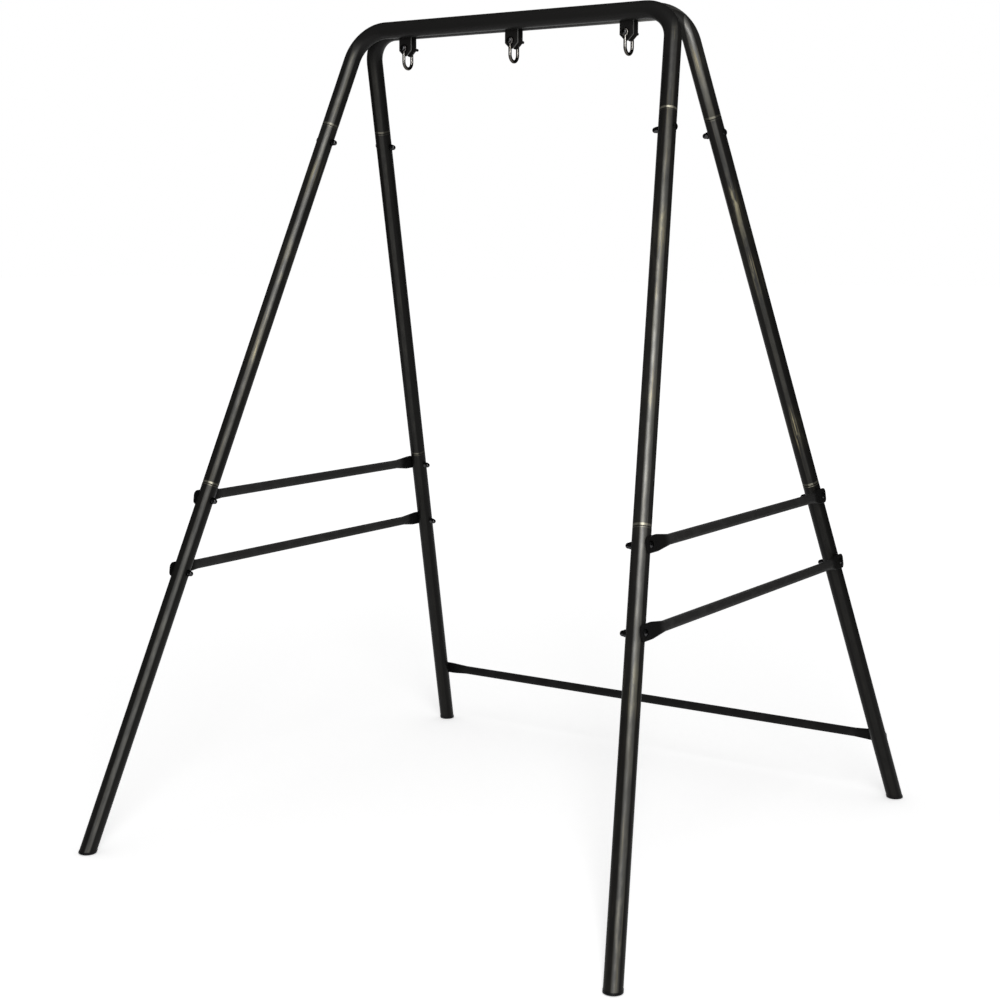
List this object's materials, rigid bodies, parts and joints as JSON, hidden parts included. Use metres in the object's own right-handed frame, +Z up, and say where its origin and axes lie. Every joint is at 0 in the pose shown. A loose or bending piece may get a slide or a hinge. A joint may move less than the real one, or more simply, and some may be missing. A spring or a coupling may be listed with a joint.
{
  "type": "indoor swing frame",
  "caption": "Free-standing tubular swing frame: splayed legs, a double crossbar, tie braces, plastic feet and shackles that hang under the bar to take a swing.",
  "frame": {"origin": "on the floor, under the middle of the crossbar", "axes": "+Z up, +X along the crossbar to the right, +Y to the rear, where the low brace is"},
  "size_m": [1.4012, 1.4476, 1.869],
  "materials": {
    "tube_paint": "satin black paint brushed lengthwise with dark antique bronze",
    "ear_paint": "satin black paint",
    "brace_paint": "satin black powder coat",
    "black_hardware": "black zinc plate, half gloss",
    "shackle_steel": "bright nickel plate",
    "foot_plastic": "moulded black plastic, fine grain"
  },
  "bodies": {
    "frame": {"front_top_tube": "tube_paint", "rear_top_tube": "tube_paint", "upper_leg_front_left": "tube_paint", "upper_leg_front_right": "tube_paint", "upper_leg_rear_left": "tube_paint", "upper_leg_rear_right": "tube_paint", "lower_leg_front_left": "tube_paint", "lower_leg_front_right": "tube_paint", "lower_leg_rear_left": "tube_paint", "lower_leg_rear_right": "tube_paint", "front_hanger_ears": "ear_paint", "rear_hanger_ears": "ear_paint", "left_upper_brace": "brace_paint", "left_lower_brace": "brace_paint", "right_upper_brace": "brace_paint", "right_lower_brace": "brace_paint", "rear_brace": "brace_paint", "hanger_bolts": "black_hardware", "hanger_lock_nuts": "black_hardware", "leg_joint_bolts": "black_hardware", "leg_joint_cap_nuts": "black_hardware", "upper_brace_bolts": "black_hardware", "upper_brace_cap_nuts": "black_hardware", "lower_brace_bolts": "black_hardware", "lower_brace_cap_nuts": "black_hardware", "rear_brace_bolts": "black_hardware", "rear_brace_weld_nuts": "black_hardware", "foot_front_left": "foot_plastic", "foot_front_right": "foot_plastic", "foot_rear_left": "foot_plastic", "foot_rear_right": "foot_plastic"},
    "left_link": {"left_shackle": "shackle_steel"},
    "middle_link": {"middle_shackle": "shackle_steel"},
    "right_link": {"right_shackle": "shackle_steel"}
  },
  "joints": [
    {"name": "left_shackle_swing", "type": "hinge", "parent": "frame", "child": "left_link", "pos_m": [-0.293, 0, 1.808], "axis": [0, 1, 0], "range_deg": [-105, 105]},
    {"name": "middle_shackle_swing", "type": "hinge", "parent": "frame", "child": "middle_link", "pos_m": [0, 0, 1.808], "axis": [0, 1, 0], "range_deg": [-105, 105]},
    {"name": "right_shackle_swing", "type": "hinge", "parent": "frame", "child": "right_link", "pos_m": [0.293, 0, 1.808], "axis": [0, 1, 0], "range_deg": [-105, 105]}
  ]
}
